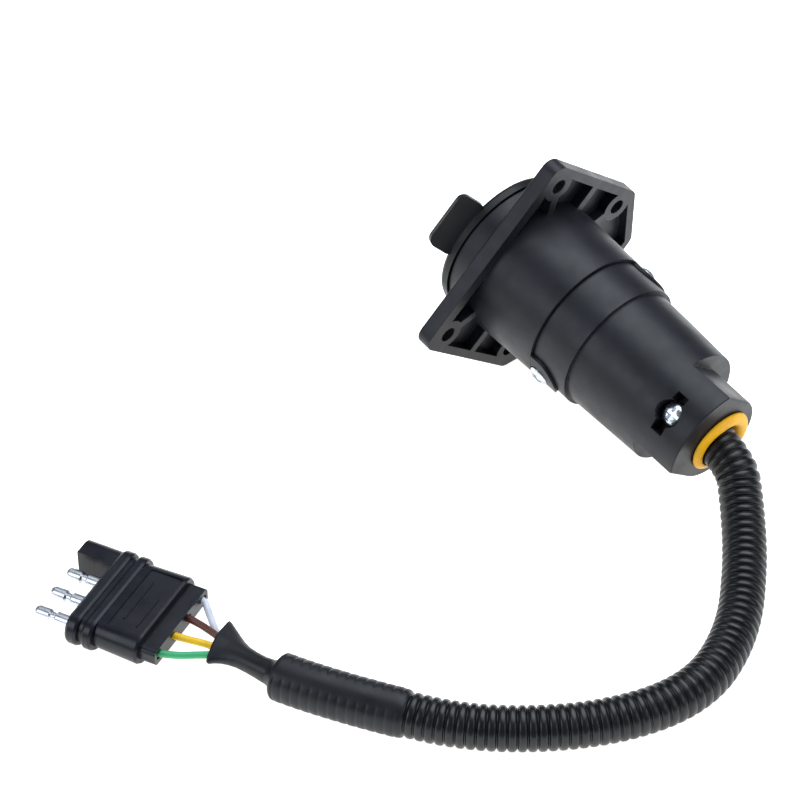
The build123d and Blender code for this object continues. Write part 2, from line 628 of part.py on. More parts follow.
# ---- wires: from the contacts' feet, through the loom and the sleeve, into the flat plug ----
wire_contact = {"white": "ground", "brown": "tail", "yellow": "left", "green": "right"}
bundle_place = {"white": (-1, 1), "brown": (-1, -1), "yellow": (1, -1), "green": (1, 1)}
fan_spread = {"white": -4.0, "brown": -1.4, "yellow": 1.9, "green": 5.9}


def wire_route(colour):
    """A wire's points: from its contact into the bundle, along the loom and into the plug's lane."""
    a = radians(contact_angles[contact_names.index(wire_contact[colour])])
    side, rise = bundle_place[colour]
    foot = [
        socket.from_local_coords((radius * cos(a), radius * sin(a), z))
        for radius, z in ((WIRE_FOOT_RADIUS, INSERT_REAR + FOOT_THICK), (8.2, 42.0))
    ]
    bundle = beside(LOOM_POINTS + [NECK_POINT], side * BUNDLE_OFFSET, rise * BUNDLE_OFFSET)
    fan_side = Vector(-mouth_heading.Y, mouth_heading.X, 0)
    fan = mouth_point + fan_side * fan_spread[colour]
    inside = [plug.from_local_coords((lane[colour], 0, -depth)) for depth in (PLUG_REAR + 1, CRIMP_DEPTH)]
    return foot + bundle + [fan] + inside


for colour in wire_colours:
    route = wire_route(colour)
    radii = corner_radii(route)
    with BuildPart() as wire:
        with BuildLine() as wire_line:
            FilletPolyline(*route, radius=radii)
        with BuildSketch(Plane(origin=wire_line.line @ 0, z_dir=wire_line.line % 0)) as wire_section:
            Circle(WIRE_RADIUS)
        sweep(path=wire_line.wire())
    write(wire, f"wire_{colour}")
    report_route(colour, wire.part, wire_line.wire(), wire_section.sketch.area, radii)

# ---- flat plug body, moulded around its terminals ----
def plug_slab(back, front, width, thick, taper=0.0, bevel_back=BEVEL, bevel_front=BEVEL):
    """A slab of the plug between two depths behind its face, with bevelled rims, added to the open part."""
    smaller = 2 * BEVEL * tan(radians(BEVEL_ANGLE))
    if bevel_back:
        with BuildSketch(plug.offset(-back)) as rear_rim:
            SlotOverall(width - smaller, thick - smaller)
        extrude(rear_rim.sketch, amount=bevel_back, taper=-BEVEL_ANGLE)
    with BuildSketch(plug.offset(bevel_back - back)) as middle:
        SlotOverall(width, thick)
    extrude(middle.sketch, amount=back - front - bevel_back - bevel_front, taper=taper)
    if bevel_front:
        with BuildSketch(plug.offset(-front - bevel_front)) as front_rim:
            SlotOverall(width, thick)
        extrude(front_rim.sketch, amount=bevel_front, taper=BEVEL_ANGLE)


# Each raised line of the panel: (depth from the panel's middle, sideways shift, length).
panel_lines = [(-2.7, 3.7, 13.4), (2.6, 0.3, 17.6)]

with BuildPart() as flat_plug_body:
    with BuildSketch(plug.offset(-PLUG_REAR)):
        RectangleRounded(TAIL_WIDTH, TAIL_THICK, 1.6)
    extrude(amount=PLUG_REAR - PLUG_BODY_REAR)
    plug_slab(PLUG_BODY_REAR, RIB_REAR, PLUG_WIDTH, PLUG_THICK, taper=PLUG_TAPER, bevel_front=0.0)
    plug_slab(RIB_REAR, RIB_FRONT, LIP_WIDTH - 0.3, LIP_THICK - 0.2)
    plug_slab(RIB_FRONT, LIP_DEPTH, GROOVE_WIDTH, GROOVE_THICK, bevel_back=0.0, bevel_front=0.0)
    plug_slab(LIP_DEPTH, 0, LIP_WIDTH, LIP_THICK)
    # The shroud carries on the rounded end of the lip, and is flat towards the bullets.
    with BuildSketch(plug):
        SlotOverall(LIP_WIDTH - SHROUD_SMALLER, LIP_THICK - SHROUD_SMALLER)
        shroud_width = LIP_WIDTH / 2 - 1.5 * PIN_PITCH + SHROUD_INNER
        with Locations(((shroud_width - LIP_WIDTH) / 2, 0)):
            Rectangle(shroud_width, LIP_THICK, mode=Mode.INTERSECT)
    extrude(amount=SHROUD_LENGTH)
    # A sunken panel on each broad face, with two thin raised lines in it.
    for face in (1, -1):
        panel_plane = Plane(
            origin=plug.from_local_coords((0, face * PANEL_FLOOR, -PANEL_MIDDLE)),
            x_dir=green_dir,
            z_dir=Vector(0, 0, face),
        )
        with BuildSketch(panel_plane):
            RectangleRounded(PANEL_WIDTH, PANEL_DEPTH, 0.8)
        extrude(amount=PLUG_THICK / 2 - PANEL_FLOOR + 0.5, taper=-20, mode=Mode.SUBTRACT)
        for depth, shift, length in panel_lines:
            with BuildSketch(panel_plane.offset(-0.1)):
                with Locations((shift, -face * depth)):
                    Rectangle(length, PANEL_LINE)
            extrude(amount=PANEL_LINE_RISE + 0.1)
    for colour in wire_colours:
        with BuildSketch(plug.offset(-PLUG_REAR - 1)):
            with Locations((lane[colour], 0)):
                Circle(WIRE_RADIUS + 0.02)
        extrude(amount=PLUG_REAR + 1 - CRIMP_DEPTH, mode=Mode.SUBTRACT)
        with BuildSketch(plug.offset(-CRIMP_DEPTH)):
            with Locations((lane[colour], 0)):
                Circle(TERMINAL_OUTER if colour == "white" else BULLET_RADIUS)
        extrude(amount=CRIMP_DEPTH + SHROUD_LENGTH + 1, mode=Mode.SUBTRACT)
write(flat_plug_body, "flat_plug_body")

# ---- bullets and the shrouded socket terminal ----
for colour in wire_colours[1:]:
    with BuildPart() as bullet:
        bullet_axis = Axis(plug.from_local_coords((lane[colour], 0, 0)), pin_dir)
        with BuildSketch(Plane(origin=bullet_axis.position, x_dir=green_dir, z_dir=(0, 0, -1))):
            with BuildLine():
                Polyline(
                    (0, -CRIMP_DEPTH),
                    (BULLET_RADIUS, -CRIMP_DEPTH),
                    (BULLET_RADIUS, BULLET_LENGTH - 8.2),
                    (BULLET_WAIST, BULLET_LENGTH - 7.6),
                    (BULLET_WAIST, BULLET_LENGTH - 6.2),
                    (BULLET_RADIUS, BULLET_LENGTH - 5.6),
                    (BULLET_RADIUS, BULLET_LENGTH - 1.6),
                )
                ThreePointArc(
                    (BULLET_RADIUS, BULLET_LENGTH - 1.6),
                    (1.5, BULLET_LENGTH - 0.55),
                    (0.7, BULLET_LENGTH),
                )
                Polyline((0.7, BULLET_LENGTH), (0, BULLET_LENGTH), (0, -CRIMP_DEPTH))
            make_face()
        revolve(axis=bullet_axis)
    write(bullet, f"bullet_{colour}")

with BuildPart() as socket_terminal:
    with BuildSketch(plug.offset(-CRIMP_DEPTH)):
        with Locations((lane["white"], 0)):
            Circle(TERMINAL_OUTER)
    extrude(amount=CRIMP_DEPTH + SHROUD_LENGTH - TERMINAL_SET_BACK)
    with BuildSketch(plug.offset(-TERMINAL_DEPTH)):
        with Locations((lane["white"], 0)):
            Circle(BULLET_RADIUS + 0.05)
    extrude(amount=TERMINAL_DEPTH + SHROUD_LENGTH, mode=Mode.SUBTRACT)
write(socket_terminal, "socket_terminal")
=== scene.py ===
"""The looks of the trailer wiring connector.

Corrugated loom, shrink sleeve, grommet and wires, then materials, light and camera.
"""

import json
from math import cos, pi, radians, sin

import bmesh
import bpy
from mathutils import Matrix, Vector


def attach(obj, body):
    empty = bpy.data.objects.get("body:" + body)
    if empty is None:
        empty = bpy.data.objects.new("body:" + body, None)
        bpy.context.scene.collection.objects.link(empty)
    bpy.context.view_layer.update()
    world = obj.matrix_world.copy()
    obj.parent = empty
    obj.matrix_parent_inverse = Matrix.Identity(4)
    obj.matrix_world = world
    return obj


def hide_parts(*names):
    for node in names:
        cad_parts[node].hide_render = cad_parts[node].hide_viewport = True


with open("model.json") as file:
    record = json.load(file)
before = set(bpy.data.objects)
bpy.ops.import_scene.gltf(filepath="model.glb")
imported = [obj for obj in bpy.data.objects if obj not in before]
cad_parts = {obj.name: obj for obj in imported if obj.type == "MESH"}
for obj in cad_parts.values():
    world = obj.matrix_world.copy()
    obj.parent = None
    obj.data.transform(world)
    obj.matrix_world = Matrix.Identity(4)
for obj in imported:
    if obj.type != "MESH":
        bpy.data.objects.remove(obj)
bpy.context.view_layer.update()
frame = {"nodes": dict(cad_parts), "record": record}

MM = 0.001

# ---- the socket's own frame, as in the CAD: X to the hinge, Z to the cable ----
AXIS_DIP, AXIS_ROLL = radians(10.4), radians(40.2)
SOCKET_ORIGIN = Vector((-34.2, -1.8, 46 * cos(AXIS_DIP))) * MM
SOCKET_Z = Vector((cos(AXIS_DIP), 0, -sin(AXIS_DIP)))
SOCKET_UP = Vector((sin(AXIS_DIP), 0, cos(AXIS_DIP)))
SOCKET_X = Vector((0, cos(AXIS_ROLL), 0)) - SOCKET_UP * sin(AXIS_ROLL)
SOCKET_Y = SOCKET_Z.cross(SOCKET_X)

# ---- cord routes, in millimetres ----
# The CAD's ends, with the points between moved and one more where the loom leaves the cap:
# the bend there is tighter, and the line stays within 4 mm of the CAD's tube.
LOOM_POINTS = [
    (32.7, -1.8, 33.1),
    (62.5, -1.8, 27.6),
    (74.0, -9.2, 18.4),
    (89.0, -22.2, 11.5),
    (107.0, -43.5, 7.8),
    (116.6, -70.5, 7.3),
    (107.4, -101.6, 7.3),
    (84.3, -131.7, 7.3),
    (56.6, -148.9, 7.3),
    (28.3, -163.2, 7.3),
]
NECK_POINT = (12.8, -166.4, 6.8)
MOUTH_POINT = (3.3, -167.3, 6.2)
MOUTH_HEADING = radians(208)
MOUTH_SIDE = Vector((-sin(MOUTH_HEADING), cos(MOUTH_HEADING), 0))
PLUG_FACE = (-37.8, -183.6, 6.0)
PLUG_HEADING = radians(202.5)
PIN_PITCH = 9.4
PLUG_REAR, CRIMP_DEPTH = 30.7, 20.0
BUNDLE_OFFSET = 1.34
LOOM_RADIUS, WIRE_RADIUS = 7.15, 1.2


# ---- small helpers ----
CURVE_ROUNDNESS = 6  # steps to each quarter of a tube
TUBE_STEPS, LINE_STEPS = 12, 40  # to each control point of a tube, and of a line to measure by


def new_mesh_object(name, verts, faces):
    """A mesh object in the CAD's frame, with its faces smooth-shaded and pointing outward."""
    mesh = bpy.data.meshes.new(name)
    mesh.from_pydata([tuple(v) for v in verts], [], faces)
    mesh.update()
    work = bmesh.new()
    work.from_mesh(mesh)
    bmesh.ops.recalc_face_normals(work, faces=work.faces)
    for face in work.faces:
        face.smooth = True
    work.to_mesh(mesh)
    work.free()
    obj = bpy.data.objects.new(name, mesh)
    bpy.context.scene.collection.objects.link(obj)
    return obj


def nurbs_curve(name, points, radius=0.0, resolution=TUBE_STEPS):
    """One open NURBS spline with the route's points as its control points, in metres."""
    data = bpy.data.curves.new(name, "CURVE")
    data.dimensions = "3D"
    data.resolution_u = resolution
    spline = data.splines.new("NURBS")
    spline.points.add(len(points) - 1)
    for control, point in zip(spline.points, points):
        control.co = (*(Vector(point) * MM), 1)
    spline.order_u = 3
    spline.use_endpoint_u = True
    data.bevel_depth = radius
    data.bevel_resolution = CURVE_ROUNDNESS
    data.use_fill_caps = True
    obj = bpy.data.objects.new(name, data)
    bpy.context.scene.collection.objects.link(obj)
    return obj


def curve_line(points):
    """The points down the middle of a route's NURBS spline."""
    bare = nurbs_curve("route", points, resolution=LINE_STEPS)
    mesh = bpy.data.meshes.new_from_object(bare)
    line = [v.co.copy() for v in mesh.vertices]
    bpy.data.meshes.remove(mesh)
    bpy.data.curves.remove(bare.data)
    return line


class Path:
    """A line measured by the distance along it, with a frame that doesn't twist."""

    def __init__(self, line):
        self.line = line
        self.along = [0.0]
        for a, b in zip(line, line[1:]):
            self.along.append(self.along[-1] + (b - a).length)
        self.length = self.along[-1]

    def at(self, distance):
        """(place, level side, upper side) at a distance from the start."""
        distance = min(max(distance, 0.0), self.length)
        i = 0
        while i < len(self.line) - 2 and self.along[i + 1] < distance:
            i += 1
        a, b = self.line[i], self.line[i + 1]
        step = self.along[i + 1] - self.along[i]
        place = a.lerp(b, (distance - self.along[i]) / step)
        before = self.line[max(i - 1, 0)]
        after = self.line[min(i + 2, len(self.line) - 1)]
        heading = (after - before).normalized()
        side = Vector((-heading.y, heading.x, 0)).normalized()
        above = heading.cross(side)
        return place, side, -above if above.z < 0 else above


def skin(rings):
    """Faces between successive rings of equal size, numbered in order."""
    count = len(rings[0])
    faces = []
    for r in range(len(rings) - 1):
        for k in range(count):
            n = (k + 1) % count
            this, after = r * count, (r + 1) * count
            faces.append((this + k, this + n, after + n, after + k))
    return faces


def ring(place, side, up, wide, high, count, wobble=None):
    """One oval ring of points round a place; wobble(angle) scales it."""
    points = []
    for k in range(count):
        a = 2 * pi * k / count
        scale = wobble(a) if wobble else 1
        points.append(place + side * (wide * cos(a) * scale) + up * (high * sin(a) * scale))
    return points


def tube_mesh(name, rings):
    """A surface through rings of equal size."""
    verts = [p for r in rings for p in r]
    return new_mesh_object(name, verts, skin(rings))


# ---- loom: a corrugated tube ----
CORRUGATION_PITCH, CORRUGATION_DEPTH = 3.0 * MM, 1.05 * MM
CREST_BREADTH = 3.2  # the higher, the wider the crests and the narrower the valleys
RINGS_TO_A_RIB, LOOM_SIDES = 14, 56


def corrugation(distance):
    """How far below the crest the surface is: rounded crests with narrow valleys between them."""
    phase = (distance / CORRUGATION_PITCH) % 1
    return CORRUGATION_DEPTH * abs(2 * phase - 1) ** CREST_BREADTH


def make_loom(path):
    """The loom as rings across its line, each at its own depth in the corrugations."""
    step = CORRUGATION_PITCH / RINGS_TO_A_RIB
    rings = []
    for i in range(int(path.length / step) + 1):
        place, side, up = path.at(i * step)
        radius = LOOM_RADIUS * MM - corrugation(i * step)
        rings.append(ring(place, side, up, radius, radius, LOOM_SIDES))
    return tube_mesh("loom_corrugated", rings)


loom_line = curve_line(LOOM_POINTS)
loom_path = Path(loom_line)
loom = make_loom(loom_path)
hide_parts("loom")
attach(loom, "socket")

# ---- shrink sleeve: tight over the loom's end, then a neck and a flattened flare ----
SLEEVE_COVER = 42 * MM
SLEEVE_OUTER, SLEEVE_WALL = 7.75, 0.6
EDGE_THINNING, EDGE_LENGTH = 0.45, 2.5
SLEEVE_RINGS, SLEEVE_SIDES = 260, 64
# (distance past the loom's end, half width, half height), in millimetres
SLEEVE_PROFILE = [
    (-0.8, 7.75, 7.75),
    (-0.1, 7.6, 7.6),
    (0.5, 7.1, 7.1),
    (1.0, 6.2, 6.2),
    (1.5, 5.2, 5.2),
    (2.2, 4.6, 4.5),
    (3.4, 4.15, 4.0),
    (7.0, 3.8, 3.6),
    (11.0, 3.8, 3.4),
    (14.5, 4.1, 3.3),
    (17.5, 5.0, 3.2),
    (20.0, 6.2, 3.1),
    (22.5, 7.7, 3.1),
    (24.6, 9.2, 3.1),
]
# The loom's ribs show through by this share of the radius, except along the sleeve's upper side,
# where a band is stretched flat as far as the loom's end.
RIB_SHOW, BAND_FLATTENING = 0.034, 0.03
SMOOTH_BAND, SMOOTH_BAND_HALF = radians(70), radians(36)
RIBS_FADE_FROM, BAND_ENDS_PAST = 0.6, 0.4
# The flare starts this far past the loom's end, and its mouth is a little uneven.
FLARE_START, FLARE_LENGTH, FLARE_EASING = 12, 12.6, 1.5
MOUTH_PINCH, MOUTH_LOBES, MOUTH_LOBE_TURN = 0.18, 3, 0.6
# How far in from the mouth each ring of the sleeve's inside is.
INSIDE_RINGS = (0.0, 2.5, 6.0, 10.0, 16.0)


def profile_at(table, x):
    """Half width and half height at x, in straight steps between the table's rows."""
    if x <= table[0][0]:
        return table[0][1:]
    for (x0, w0, h0), (x1, w1, h1) in zip(table, table[1:]):
        if x <= x1:
            t = (x - x0) / (x1 - x0)
            return w0 + (w1 - w0) * t, h0 + (h1 - h0) * t
    return table[-1][1:]


def make_sleeve(path, loom_end):
    """The sleeve as one thin shell: its skin, the mouth's rim and a little way back inside."""
    start = loom_end - SLEEVE_COVER
    stop = path.length

    def section(distance, thinner=0.0):
        place, side, up = path.at(distance)
        past = (distance - loom_end) / MM
        wide, high = profile_at(SLEEVE_PROFILE, past)
        dent = 0.0
        if past < SLEEVE_PROFILE[0][0]:
            edge = min(1.0, (distance - start) / (EDGE_LENGTH * MM))
            wide = high = SLEEVE_OUTER - EDGE_THINNING * (1 - edge) ** 2
            dent = RIB_SHOW * corrugation(distance) / CORRUGATION_DEPTH
        turn = min(max((past - FLARE_START) / FLARE_LENGTH, 0.0), 1.0) ** FLARE_EASING
        side = side.lerp(MOUTH_SIDE, turn).normalized()

        def wobble(a):
            off_band = min(1.0, abs(a - SMOOTH_BAND) / SMOOTH_BAND_HALF)
            flat = BAND_FLATTENING * (1 - off_band ** 2) if past < BAND_ENDS_PAST else 0.0
            shown = max(0.0, (off_band - RIBS_FADE_FROM) / (1 - RIBS_FADE_FROM))
            lobes = sin(MOUTH_LOBES * a + MOUTH_LOBE_TURN)
            return 1 - MOUTH_PINCH * turn * (1 - abs(cos(a))) * lobes - dent * shown - flat

        half_width, half_height = (wide - thinner) * MM, (high - thinner) * MM
        return ring(place, side, up, half_width, half_height, SLEEVE_SIDES, wobble)

    rings = [section(start, SLEEVE_WALL)]
    for i in range(SLEEVE_RINGS + 1):
        rings.append(section(start + (stop - start) * i / SLEEVE_RINGS))
    for back in INSIDE_RINGS:
        rings.append(section(stop - back * MM, SLEEVE_WALL))
    return tube_mesh("shrink_sleeve", rings)


sleeve_path = Path(curve_line(LOOM_POINTS + [NECK_POINT, MOUTH_POINT]))
sleeve = make_sleeve(sleeve_path, loom_path.length)
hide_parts("heat_shrink")
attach(sleeve, "socket")

# ---- cable grommet: a soft sleeve whose lip the bending loom pushes out of round ----
# Each row: (radius, distance along the axis) where the lip hugs the loom, the same where it
# stands open, and how far the row follows the loom off the socket's axis.
GROMMET_ROWS = [
    ((7.3, 84.0), (7.3, 84.0), 1.0),
    ((7.3, 89.4), (7.7, 88.4), 1.0),
    ((7.35, 91.5), (8.2, 90.4), 1.0),
    ((7.6, 92.4), (8.9, 91.8), 0.9),
    ((8.3, 92.8), (9.7, 92.7), 0.7),
    ((9.5, 92.5), (10.8, 92.9), 0.4),
    ((10.7, 91.9), (11.7, 92.4), 0.2),
    ((11.5, 91.3), (12.2, 91.6), 0.0),
    ((11.5, 90.8), (12.2, 90.9), 0.0),
    ((11.0, 90.4), (11.6, 90.5), 0.0),
    ((9.1, 90.35), (9.1, 90.35), 0.0),
    ((9.1, 84.0), (9.1, 84.0), 0.0),
]
GROMMET_OPENS_AT, GROMMET_OPENING = radians(45), 1.5
GROMMET_SIDES = 96
# The lip's rows lie outside this radius and beyond this distance, and they alone are uneven.
LIP_INSIDE, LIP_BACK = 7.6, 90.4
LIP_WAVE, LIP_SAG, LIP_OVAL = 0.14, 0.1, 0.1


def make_grommet(path):
    """The grommet's section turned about the socket's axis, its lip rising and sagging a little."""
    def loom_shift(z):
        """How far off the socket's axis the loom is, at z along that axis."""
        for place in path.line:
            away = place - SOCKET_ORIGIN
            if away.dot(SOCKET_Z) > z * MM:
                return away - SOCKET_Z * away.dot(SOCKET_Z)
        return Vector()

    rings = []
    for hug, stand, follow in GROMMET_ROWS:
        row = []
        for k in range(GROMMET_SIDES):
            a = 2 * pi * k / GROMMET_SIDES
            openness = max(0.0, cos(a - GROMMET_OPENS_AT)) ** GROMMET_OPENING
            radius = hug[0] + (stand[0] - hug[0]) * openness
            z = hug[1] + (stand[1] - hug[1]) * openness
            if hug[0] > LIP_INSIDE and hug[1] > LIP_BACK:
                z += LIP_WAVE * sin(3 * a + 0.7) - LIP_SAG
                radius += LIP_OVAL * sin(2 * a + 1.1)
            out = SOCKET_X * cos(a) + SOCKET_Y * sin(a)
            row.append(SOCKET_ORIGIN + (SOCKET_Z * z + out * radius) * MM + loom_shift(z) * follow)
        rings.append(row)
    rings.append(rings[0])
    grommet = tube_mesh("grommet_lip", rings)
    smoother = grommet.modifiers.new("smoother", "SUBSURF")
    smoother.levels = smoother.render_levels = 1
    return grommet


grommet = make_grommet(loom_path)
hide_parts("grommet")
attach(grommet, "socket")

# ---- wires: bundled in the loom and fanned out into the plug's lanes ----
WIRE_CONTACT_ANGLE = {"white": 150, "brown": 270, "yellow": 30, "green": 90}
BUNDLE_PLACE = {"white": (-1, 1), "brown": (-1, -1), "yellow": (1, -1), "green": (1, 1)}
# How far to the side of the sleeve's mouth's middle, and above it, each wire comes out.
FAN_SPREAD = {"white": -1.3, "brown": -1.4, "yellow": 1.9, "green": 5.9}
FAN_RISE = {"white": -1.5, "brown": 0.6, "yellow": 0.0, "green": 0.0}
# The white wire bends once more before the plug, at this (lane, distance forward, height).
WHITE_BEND = (-10.4, -34.2, -0.8)
# (distance off the socket's axis, distance along it) of a wire's first two points.
WIRE_FOOT = ((9.3, 18.0), (8.2, 42.0))
BEFORE_PLUG = 0.3  # from a wire's last point outside to the plug's rear
MIDDLE_LANE = 1.5
PIN_DIR = Vector((cos(PLUG_HEADING), sin(PLUG_HEADING), 0))
GREEN_DIR = Vector((-PIN_DIR.y, PIN_DIR.x, 0))


def in_socket(radius, angle, z):
    """A point beside the socket's axis, in millimetres."""
    a = radians(angle)
    return SOCKET_ORIGIN / MM + (SOCKET_X * cos(a) + SOCKET_Y * sin(a)) * radius + SOCKET_Z * z


def in_plug(lane, forward, height=0.0):
    """A point of the flat plug, in millimetres."""
    return Vector(PLUG_FACE) + GREEN_DIR * lane + PIN_DIR * forward + Vector((0, 0, height))


def beside(points, side, rise):
    """The route that keeps a bundle's place: side is to the left of travel, rise is upwards."""
    points = [Vector(p) for p in points]
    headings = [Vector((b.x - a.x, b.y - a.y, 0)).normalized() for a, b in zip(points, points[1:])]
    moved = []
    for i, point in enumerate(points):
        arriving, leaving = headings[max(i - 1, 0)], headings[min(i, len(headings) - 1)]
        middle = (arriving + leaving).normalized()
        left = Vector((-middle.y, middle.x, 0)) * (side / middle.dot(leaving))
        moved.append(point + left + Vector((0, 0, rise)))
    return moved


def wire_route(colour, index):
    """A wire's points: from its contact, in the bundle along the loom, and out into its lane."""
    side, rise = BUNDLE_PLACE[colour]
    lane = (index - MIDDLE_LANE) * PIN_PITCH
    foot = [in_socket(radius, WIRE_CONTACT_ANGLE[colour], z) for radius, z in WIRE_FOOT]
    bundle = beside(LOOM_POINTS + [NECK_POINT], side * BUNDLE_OFFSET, rise * BUNDLE_OFFSET)
    spread = MOUTH_SIDE * FAN_SPREAD[colour] + Vector((0, 0, FAN_RISE[colour]))
    fan = [Vector(MOUTH_POINT) + spread]
    if colour == "white":
        fan.append(in_plug(*WHITE_BEND))
    end = [in_plug(lane, -PLUG_REAR - BEFORE_PLUG), in_plug(lane, -CRIMP_DEPTH)]
    return foot + bundle + fan + end


def wire_tube(name, route):
    """A wire as a round tube that follows its route's NURBS spline."""
    curve = nurbs_curve(f"{name}_line", route, WIRE_RADIUS * MM)
    tube = bpy.data.objects.new(name, bpy.data.meshes.new_from_object(curve))
    bpy.data.curves.remove(curve.data)
    bpy.context.scene.collection.objects.link(tube)
    tube.data.shade_smooth()
    return tube


wires = {}
for index, colour in enumerate(["white", "brown", "yellow", "green"]):
    route = wire_route(colour, index)
    wire = wire_tube(f"wire_{colour}_smooth", route)
    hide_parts(f"wire_{colour}")
    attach(wire, "socket")
    wires[colour] = (wire, Path(curve_line(route)))


# ---- materials ----
NOISE_LOW, NOISE_HIGH = 0.3, 0.7  # the part of a noise's range that its values mostly fill
SOFT_EDGE, EDGE_SAMPLES = 0.3 * MM, 6


class Look:
    """A node material in the making: a principled shader with helpers for its detail."""

    def __init__(self, name, colour, roughness):
        self.material = bpy.data.materials.new(name)
        self.material.use_nodes = True
        self.tree = self.material.node_tree
        self.shader = self.tree.nodes["Principled BSDF"]
        self.shader.inputs["Base Color"].default_value = (*colour, 1)
        self.shader.inputs["Roughness"].default_value = roughness

    def node(self, kind, **settings):
        """A new node; a setting with an input's name fills that input, any other is a property."""
        made = self.tree.nodes.new(kind)
        for name, value in settings.items():
            if name in made.inputs:
                made.inputs[name].default_value = value
            else:
                setattr(made, name, value)
        return made

    def link(self, source, target):
        self.tree.links.new(source, target)

    def place(self):
        """The surface's own coordinates, in metres."""
        return self.node("ShaderNodeTexCoord").outputs["Object"]

    def noise(self, scale, detail=3.0, rough=0.5):
        """Noise with so many features to the metre."""
        noise = self.node("ShaderNodeTexNoise", Scale=scale, Detail=detail, Roughness=rough)
        self.link(self.place(), noise.inputs["Vector"])
        return noise.outputs["Fac"]

    def between(self, value, low, high):
        """A noise's value mapped to low to high."""
        mapped = self.node("ShaderNodeMapRange")
        mapped.inputs["From Min"].default_value = NOISE_LOW
        mapped.inputs["From Max"].default_value = NOISE_HIGH
        mapped.inputs["To Min"].default_value = low
        mapped.inputs["To Max"].default_value = high
        self.link(value, mapped.inputs["Value"])
        return mapped.outputs["Result"]

    def vary_colour(self, value, dark, light):
        """Base colour from dark to light with the value."""
        ramp = self.node("ShaderNodeValToRGB")
        stops = ramp.color_ramp.elements
        stops[0].position, stops[0].color = NOISE_LOW, (*dark, 1)
        stops[1].position, stops[1].color = NOISE_HIGH, (*light, 1)
        self.link(value, ramp.inputs["Fac"])
        self.link(ramp.outputs["Color"], self.shader.inputs["Base Color"])

    def vary_roughness(self, value, low, high):
        """Roughness from low to high with the value."""
        self.link(self.between(value, low, high), self.shader.inputs["Roughness"])

    def bumps(self, *layers, edge=0.0):
        """Bump layers, each (value, strength, height in metres), over edges rounded by edge."""
        normal = None
        if edge:
            bevel = self.node("ShaderNodeBevel", samples=EDGE_SAMPLES, Radius=edge)
            normal = bevel.outputs["Normal"]
        for value, strength, height in layers:
            bump = self.node("ShaderNodeBump", Strength=strength, Distance=height)
            self.link(value, bump.inputs["Height"])
            if normal:
                self.link(normal, bump.inputs["Normal"])
            normal = bump.outputs["Normal"]
        self.link(normal, self.shader.inputs["Normal"])


def moulded_plastic(name, colour, roughness, grain=0.12, specular=0.22, edge=0.0):
    """Moulded plastic: fine grain, faint uneven gloss, slight colour drift and soft edges."""
    look = Look(name, colour, roughness)
    look.shader.inputs["Specular IOR Level"].default_value = specular
    dark = [c * 0.8 for c in colour]
    light = [c * 1.35 + 0.001 for c in colour]
    look.vary_colour(look.noise(90), dark, light)
    look.vary_roughness(look.noise(160, 4), roughness - 0.05, roughness + 0.07)
    fine, broad = look.noise(5200, 2), look.noise(260, 2)
    look.bumps((fine, grain, 0.08 * MM), (broad, 0.05, 0.2 * MM), edge=edge)
    return look.material


def soft_rubber(name, colour, roughness, dirt=0.75, subsurface=0.0):
    """Rubber: matte, with patches of wear that are darker or lighter."""
    look = Look(name, colour, roughness)
    worn, clean = [c * dirt for c in colour], [min(1, c * 1.12) for c in colour]
    look.vary_colour(look.noise(240, 5, 0.6), worn, clean)
    look.vary_roughness(look.noise(420, 4), roughness - 0.08, roughness + 0.08)
    look.bumps((look.noise(3000, 3), 0.12, 0.1 * MM), (look.noise(350, 2), 0.15, 0.4 * MM))
    look.shader.inputs["Specular IOR Level"].default_value = 0.3
    if subsurface:
        look.shader.inputs["Subsurface Weight"].default_value = subsurface
        look.shader.inputs["Subsurface Radius"].default_value = (1.5 * MM, 0.8 * MM, 0.3 * MM)
    return look.material


def metal(name, colour, roughness):
    """Plated or drawn metal, with fine scratches and uneven polish."""
    look = Look(name, colour, roughness)
    look.shader.inputs["Metallic"].default_value = 1.0
    dull, bright = [c * 0.82 for c in colour], [min(1, c * 1.08) for c in colour]
    look.vary_colour(look.noise(600, 4), dull, bright)
    look.vary_roughness(look.noise(500, 3, 0.5), max(0.05, roughness - 0.04), roughness + 0.06)
    look.bumps((look.noise(900, 2), 0.02, 0.03 * MM))
    return look.material


def wire_insulation(name, colour, roughness):
    """Extruded insulation: smooth and a little waxy."""
    look = Look(name, colour, roughness)
    dark, light = [c * 0.9 for c in colour], [min(1, c * 1.06) for c in colour]
    look.vary_colour(look.noise(180, 3), dark, light)
    look.vary_roughness(look.noise(500, 3), roughness - 0.05, roughness + 0.08)
    look.bumps((look.noise(1500, 2), 0.05, 0.1 * MM))
    return look.material


BLUE_BLACK, LID_BLACK = (0.0078, 0.0085, 0.0125), (0.0045, 0.005, 0.0062)
LOOM_BLACK, SLEEVE_BLACK = (0.0028, 0.003, 0.0038), (0.0072, 0.0078, 0.0108)
PLUG_BLACK = (0.0038, 0.0046, 0.0092)
WIRE_GLOSS = 0.32
